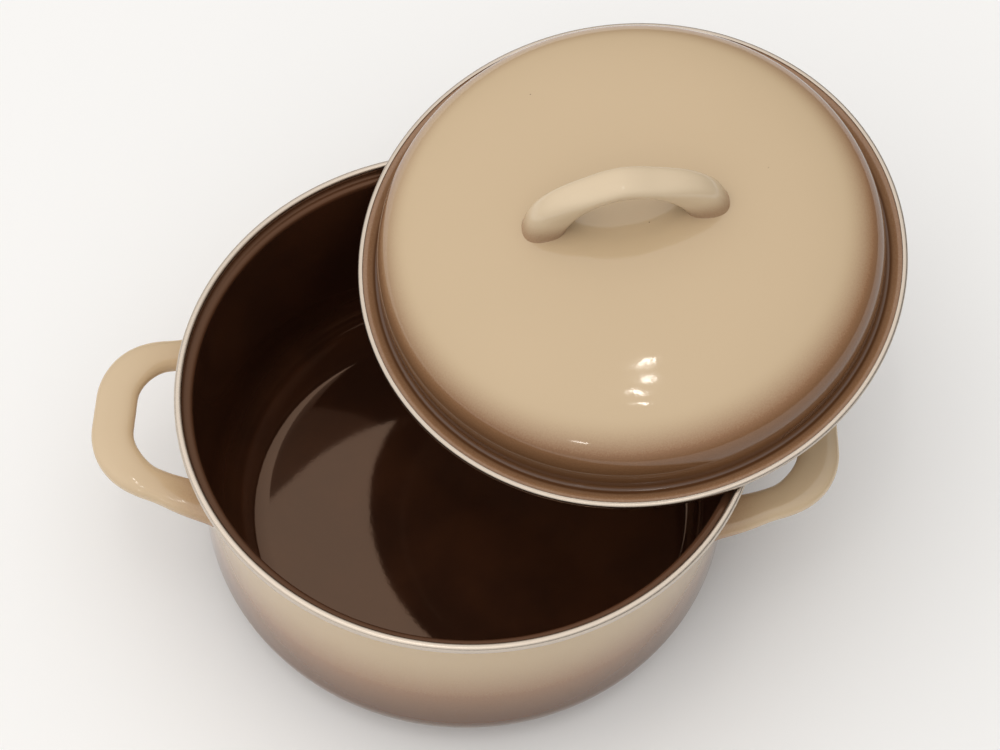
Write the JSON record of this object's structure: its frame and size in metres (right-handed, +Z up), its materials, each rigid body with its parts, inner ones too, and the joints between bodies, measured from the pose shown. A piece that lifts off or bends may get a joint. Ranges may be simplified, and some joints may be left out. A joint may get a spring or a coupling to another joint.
{
  "type": "enamelled steel casserole with lid",
  "caption": "Round enamelled steel cooking pot with loop side handles, steel rim band and a loose domed lid with an arched handle, resting ajar.",
  "frame": {"origin": "centre of the pot's flat base, in the plane that it stands on", "axes": "+Z up along the pot's axis, +X through the right side handle; the lid rests ajar towards +X and +Y"},
  "size_m": [0.3474, 0.3028, 0.185],
  "materials": {
    "cream_enamel_coat": "glossy vitreous enamel, cream with a sprayed brown shade",
    "brown_enamel_coat": "glossy dark brown vitreous enamel",
    "coated_steel": "pressed steel sheet under a dark satin ground coat",
    "cream_enamelled_steel": "pressed steel under glossy cream enamel",
    "bright_band": "bright rolled stainless steel",
    "weld_metal": "as welded, dull"
  },
  "bodies": {
    "pot": {"pot_body": "coated_steel", "pot_inner_enamel": "brown_enamel_coat", "pot_outer_enamel": "cream_enamel_coat", "pot_rim_band": "bright_band", "left_handle": "cream_enamelled_steel", "right_handle": "cream_enamelled_steel", "left_handle_welds": "weld_metal", "right_handle_welds": "weld_metal"},
    "lid": {"lid_body": "coated_steel", "lid_inner_enamel": "brown_enamel_coat", "lid_outer_enamel": "cream_enamel_coat", "lid_rim_band": "bright_band", "lid_handle": "cream_enamelled_steel", "lid_handle_welds": "weld_metal"}
  },
  "joints": [
    {"name": "lid_lift", "type": "slide", "parent": "pot", "child": "lid", "axis": [0, 0, 1], "range_m": [0, 0.15]}
  ]
}
